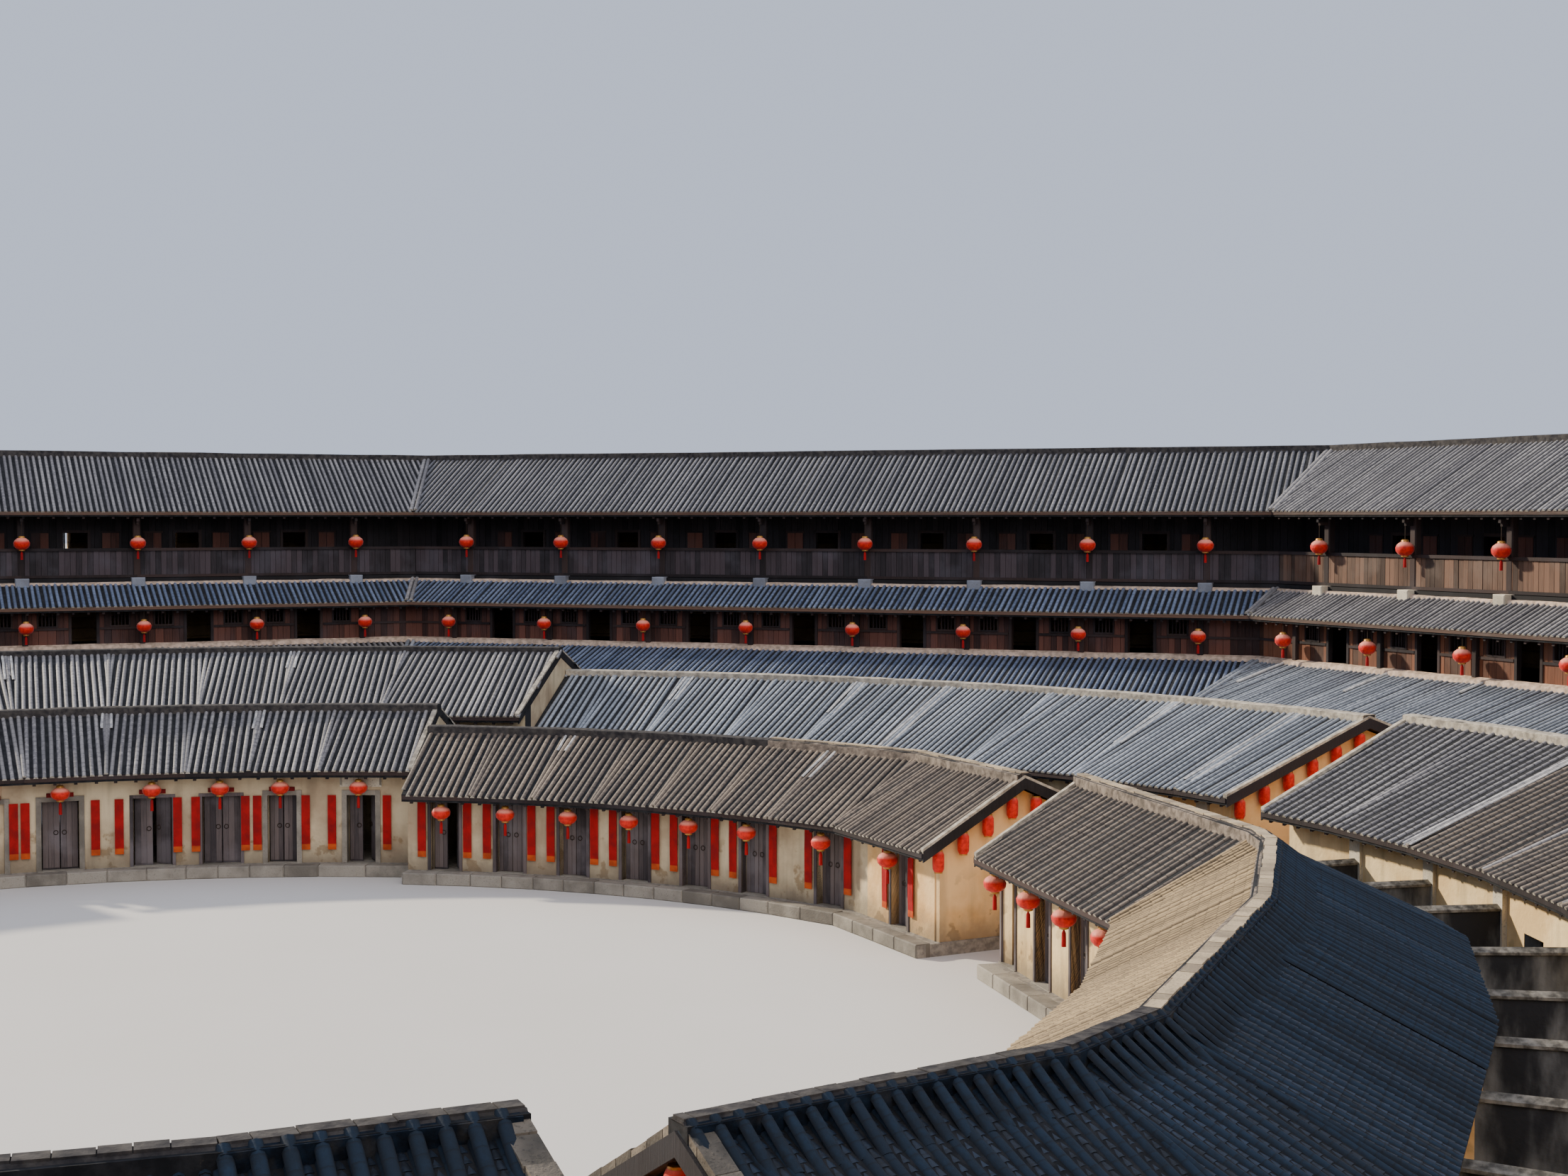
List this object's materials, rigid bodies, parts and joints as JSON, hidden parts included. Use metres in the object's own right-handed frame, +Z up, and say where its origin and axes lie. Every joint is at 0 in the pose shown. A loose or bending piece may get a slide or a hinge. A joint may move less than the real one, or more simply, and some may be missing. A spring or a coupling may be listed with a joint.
{
  "type": "1:10 scale model of an eight sided earth roundhouse",
  "caption": "Eight sided three storey earth ring house round two rings of low tiled courtyard houses, with double doors that swing, as a 1:10 model.",
  "frame": {"origin": "middle of the courtyard at ground level", "axes": "+Z up, +Y towards the middle of the north side, +X towards the middle of the east side"},
  "size_m": [9.6, 9.6, 1.265],
  "materials": {
    "rammed_earth": "dry rammed earth, weathered",
    "plaster": "lime and earth plaster, stained",
    "timber": "old dark unpainted boards",
    "roof_tiles": "weathered grey clay tiles",
    "door_boards": "weathered grey brown boards"
  },
  "bodies": {
    "root": {"front_house_roof_east": "roof_tiles", "front_house_roof_north": "roof_tiles", "front_house_roof_north_west": "roof_tiles", "front_house_roof_south": "roof_tiles", "front_house_roof_west": "roof_tiles", "front_houses_east": "plaster", "front_houses_north": "plaster", "front_houses_south": "plaster", "front_houses_west": "plaster", "ground_storey_front": "plaster", "lower_skirt_roof": "roof_tiles", "main_roof_court_slope": "roof_tiles", "main_roof_outer_slope": "roof_tiles", "middle_house_roof_east": "roof_tiles", "middle_house_roof_north": "roof_tiles", "middle_house_roof_north_west": "roof_tiles", "middle_house_roof_south": "roof_tiles", "middle_house_roof_west": "roof_tiles", "middle_houses_east": "plaster", "middle_houses_north": "plaster", "middle_houses_south": "plaster", "middle_houses_west": "plaster", "outer_wall_east": "rammed_earth", "outer_wall_north": "rammed_earth", "outer_wall_north_east": "rammed_earth", "outer_wall_north_west": "rammed_earth", "outer_wall_south": "rammed_earth", "outer_wall_south_east": "rammed_earth", "outer_wall_south_west": "rammed_earth", "outer_wall_west": "rammed_earth", "second_storey_east": "timber", "second_storey_north": "timber", "second_storey_north_east": "timber", "second_storey_north_west": "timber", "second_storey_south": "timber", "second_storey_south_east": "timber", "second_storey_south_west": "timber", "second_storey_west": "timber", "third_storey_east": "timber", "third_storey_north": "timber", "third_storey_north_east": "timber", "third_storey_north_west": "timber", "third_storey_south": "timber", "third_storey_south_east": "timber", "third_storey_south_west": "timber", "third_storey_west": "timber", "upper_skirt_roof": "roof_tiles"},
    "door_1_left_leaf": {"door_1_left_leaf": "door_boards"},
    "door_1_right_leaf": {"door_1_right_leaf": "door_boards"},
    "door_2_left_leaf": {"door_2_left_leaf": "door_boards"},
    "door_2_right_leaf": {"door_2_right_leaf": "door_boards"},
    "door_3_left_leaf": {"door_3_left_leaf": "door_boards"},
    "door_3_right_leaf": {"door_3_right_leaf": "door_boards"},
    "door_4_left_leaf": {"door_4_left_leaf": "door_boards"},
    "door_4_right_leaf": {"door_4_right_leaf": "door_boards"},
    "door_5_left_leaf": {"door_5_left_leaf": "door_boards"},
    "door_5_right_leaf": {"door_5_right_leaf": "door_boards"},
    "door_6_left_leaf": {"door_6_left_leaf": "door_boards"},
    "door_6_right_leaf": {"door_6_right_leaf": "door_boards"}
  },
  "joints": [
    {"name": "door_1_left_hinge", "type": "hinge", "parent": "root", "child": "door_1_left_leaf", "pos_m": [-1.43586, 1.5847, 0.03], "axis": [0, 0, 1], "range_deg": [0, 88]},
    {"name": "door_1_right_hinge", "type": "hinge", "parent": "root", "child": "door_1_right_leaf", "pos_m": [-1.36945, 1.64244, 0.03], "axis": [0, 0, -1], "range_deg": [0, 88]},
    {"name": "door_2_left_hinge", "type": "hinge", "parent": "root", "child": "door_2_left_leaf", "pos_m": [-1.24364, 1.73971, 0.03], "axis": [0, 0, 1], "range_deg": [0, 88]},
    {"name": "door_2_right_hinge", "type": "hinge", "parent": "root", "child": "door_2_right_leaf", "pos_m": [-1.16599, 1.79268, 0.03], "axis": [0, 0, -1], "range_deg": [-35, 53]},
    {"name": "door_3_left_hinge", "type": "hinge", "parent": "root", "child": "door_3_left_leaf", "pos_m": [-1.08407, 1.84338, 0.03], "axis": [0, 0, 1], "range_deg": [0, 88]},
    {"name": "door_3_right_hinge", "type": "hinge", "parent": "root", "child": "door_3_right_leaf", "pos_m": [-1.00202, 1.88924, 0.03], "axis": [0, 0, -1], "range_deg": [0, 88]},
    {"name": "door_4_left_hinge", "type": "hinge", "parent": "root", "child": "door_4_left_leaf", "pos_m": [-0.92183, 1.92938, 0.03], "axis": [0, 0, 1], "range_deg": [0, 88]},
    {"name": "door_4_right_hinge", "type": "hinge", "parent": "root", "child": "door_4_right_leaf", "pos_m": [-0.85818, 1.95852, 0.03], "axis": [0, 0, -1], "range_deg": [0, 88]},
    {"name": "door_5_left_hinge", "type": "hinge", "parent": "root", "child": "door_5_left_leaf", "pos_m": [-0.71159, 2.01641, 0.03], "axis": [0, 0, 1], "range_deg": [0, 88]},
    {"name": "door_5_right_hinge", "type": "hinge", "parent": "root", "child": "door_5_right_leaf", "pos_m": [-0.64521, 2.03862, 0.03], "axis": [0, 0, -1], "range_deg": [-62, 26]},
    {"name": "door_6_left_hinge", "type": "hinge", "parent": "root", "child": "door_6_left_leaf", "pos_m": [-0.41699, 1.98498, 0.03], "axis": [0, 0, 1], "range_deg": [0, 88]},
    {"name": "door_6_right_hinge", "type": "hinge", "parent": "root", "child": "door_6_right_leaf", "pos_m": [-0.34825, 1.99818, 0.03], "axis": [0, 0, -1], "range_deg": [-62, 26]}
  ]
}
